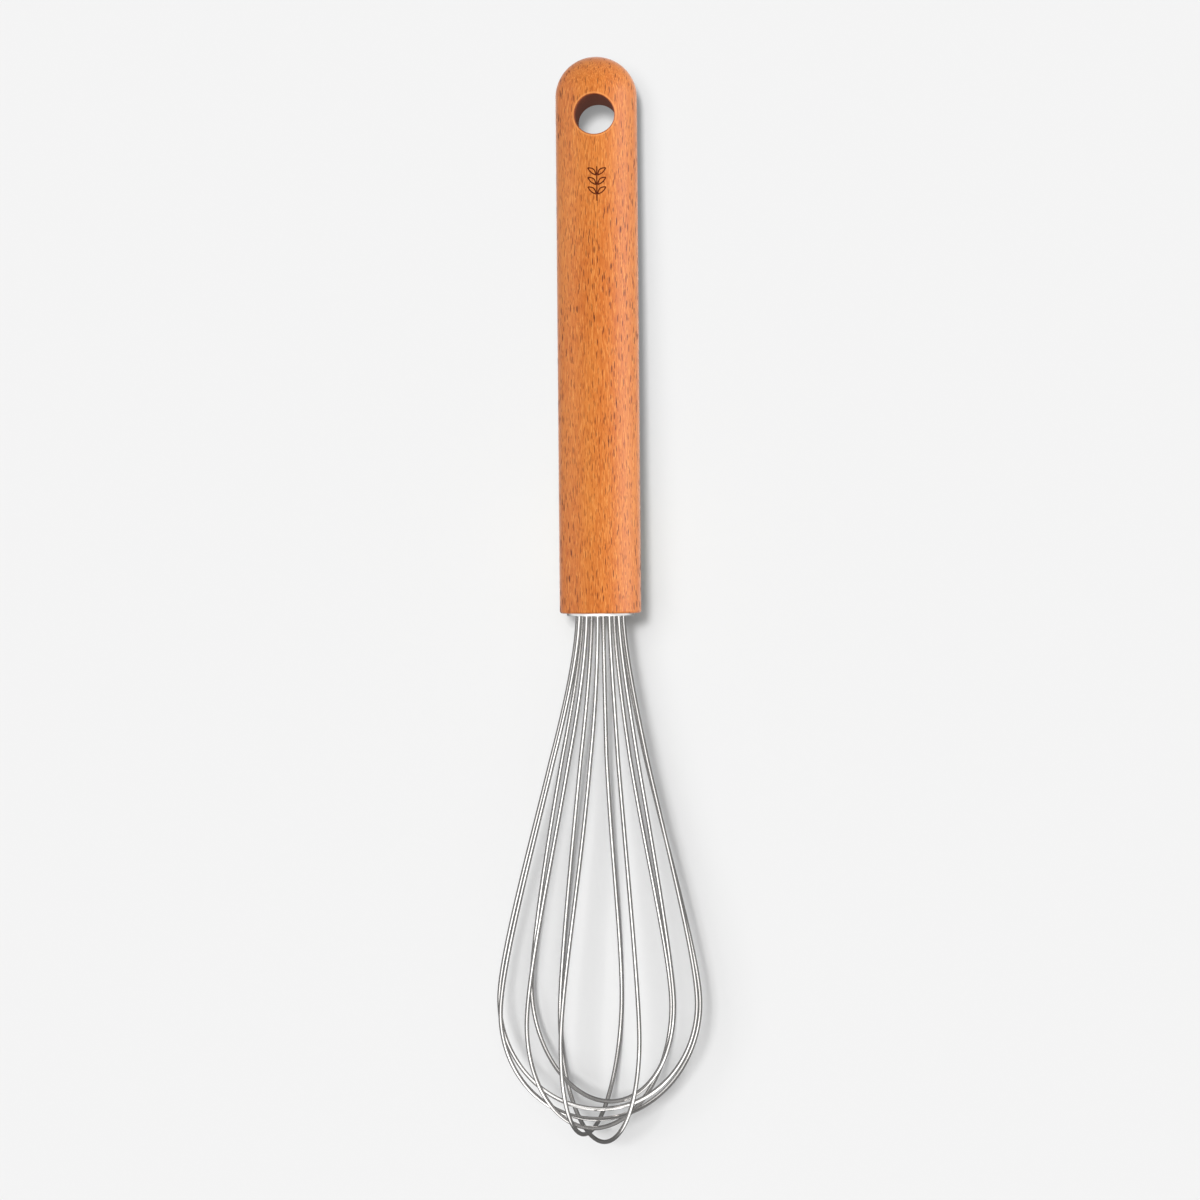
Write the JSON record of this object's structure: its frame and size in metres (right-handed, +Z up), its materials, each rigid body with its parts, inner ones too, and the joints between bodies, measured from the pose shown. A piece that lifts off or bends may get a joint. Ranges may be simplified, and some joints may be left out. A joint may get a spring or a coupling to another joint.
{
  "type": "balloon whisk",
  "caption": "Balloon whisk with a round beech handle, a cross hole to hang it by and nested steel wire loops for beating air into batter, cream or eggs.",
  "frame": {"origin": "centre of the bounding box in X and Y, on the surface the whisk lies on", "axes": "+Z up; the whisk lies down with its handle towards +Y and its wire balloon towards -Y; its own axis drops 3.48 degrees towards the handle's domed end, which rests on the surface together with the two lowest wires"},
  "size_m": [0.0572, 0.2988, 0.0583],
  "materials": {
    "beech": "fine-sanded and oiled",
    "cap_steel": "satin",
    "plug_wood": "raw",
    "resin": "cast",
    "polished_wire": "polished"
  },
  "bodies": {
    "root": {"handle": "beech", "end_cap": "cap_steel", "core_plug": "plug_wood", "resin_fill": "resin", "wire_loop_1": "polished_wire", "wire_loop_2": "polished_wire", "wire_loop_3": "polished_wire", "wire_loop_4": "polished_wire", "wire_loop_5": "polished_wire", "wire_loop_6": "polished_wire"}
  },
  "joints": []
}
